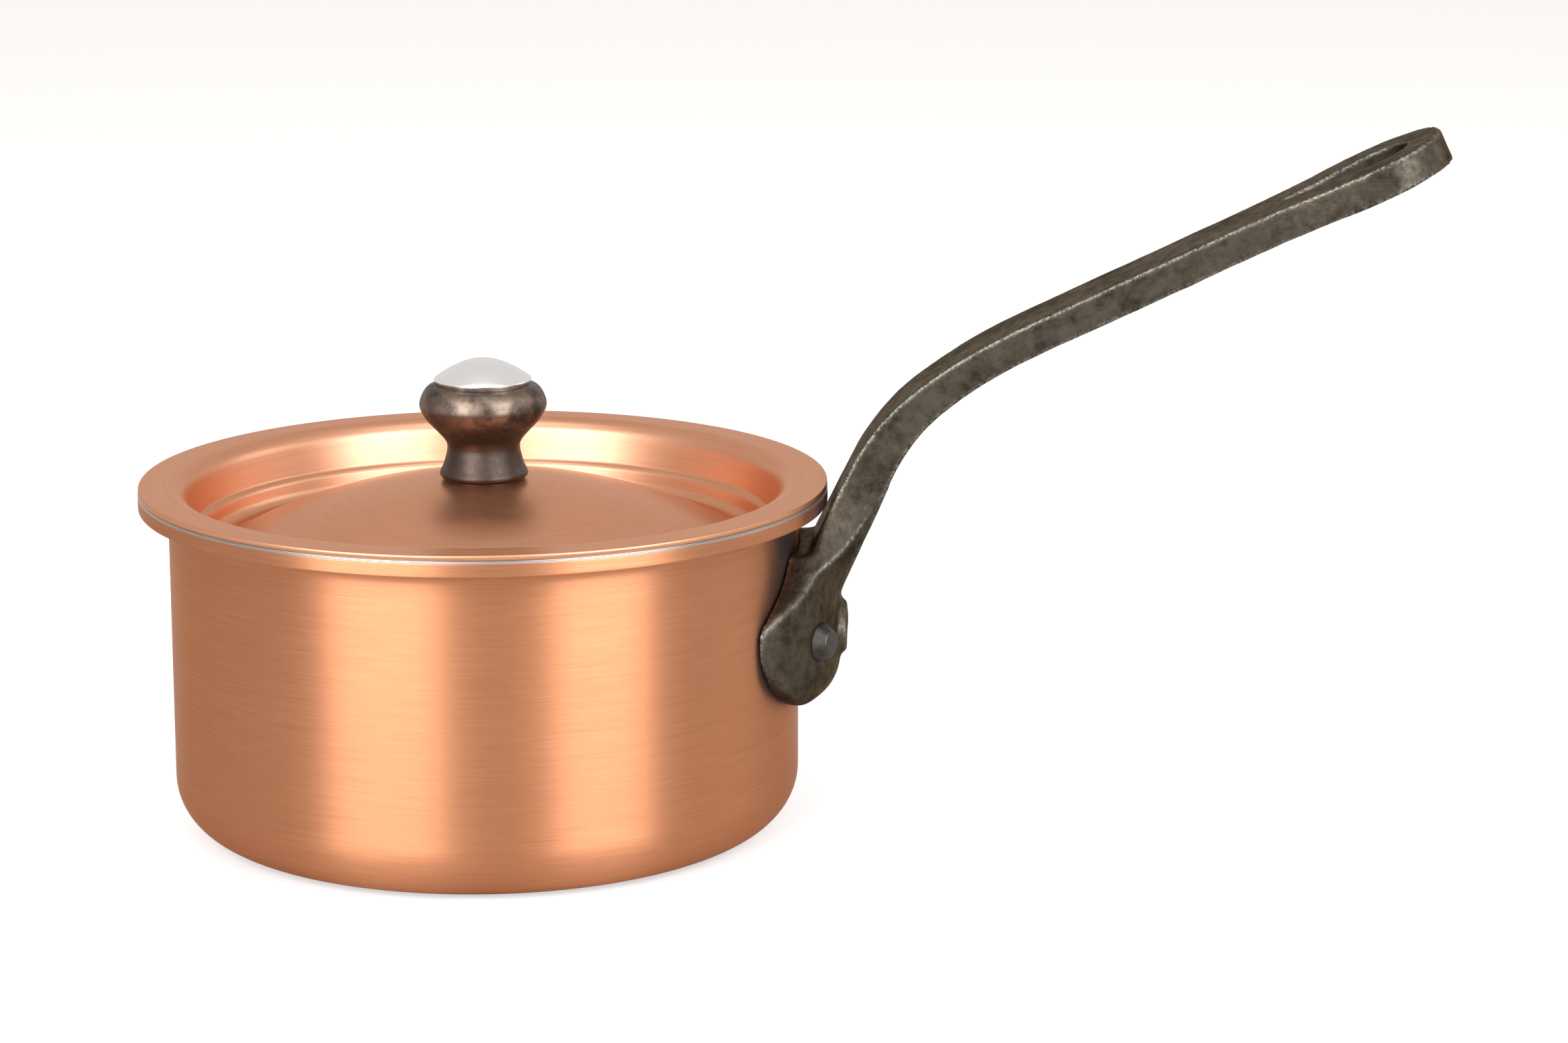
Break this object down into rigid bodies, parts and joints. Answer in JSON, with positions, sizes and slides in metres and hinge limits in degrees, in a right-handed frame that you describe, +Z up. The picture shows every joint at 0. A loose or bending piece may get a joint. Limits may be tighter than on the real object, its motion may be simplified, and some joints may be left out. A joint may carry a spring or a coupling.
{
  "type": "saucepan with lid",
  "caption": "Small straight-sided copper saucepan with a flared pouring rim, a drop-in domed copper lid with a turned iron knob, and a riveted cast iron handle with a hanging eye.",
  "frame": {"origin": "Centre of the flat outside of the base, on the axis of the pan.", "axes": "+X runs from the pan's axis along the handle, +Z is up and the way the lid lifts off, +Y completes a right-handed frame."},
  "size_m": [0.2989, 0.1586, 0.1637],
  "materials": {
    "copper_pan": "brushed copper, finely scratched round the wall",
    "copper_lid": "satin copper, smoother than the pan",
    "steel_lining": "satin stainless steel",
    "cast_iron_handle": "waxed cast iron with a fine sand grain",
    "cast_iron_knob": "turned and waxed cast iron with a polished cap",
    "steel_rivet": "dulled steel",
    "steel_washer": "plain washer"
  },
  "bodies": {
    "pan": {"pan_body": "copper_pan", "pan_lining": "steel_lining", "handle": "cast_iron_handle", "rivet_left": "steel_rivet", "rivet_right": "steel_rivet"},
    "lid": {"lid_shell": "copper_lid", "lid_lining": "steel_lining", "lid_knob": "cast_iron_knob", "knob_washer": "steel_washer", "knob_rivet": "steel_rivet"}
  },
  "joints": [
    {"name": "lid_lift", "type": "slide", "parent": "pan", "child": "lid", "axis": [0, 0, 1], "range_m": [0, 0.1]}
  ]
}
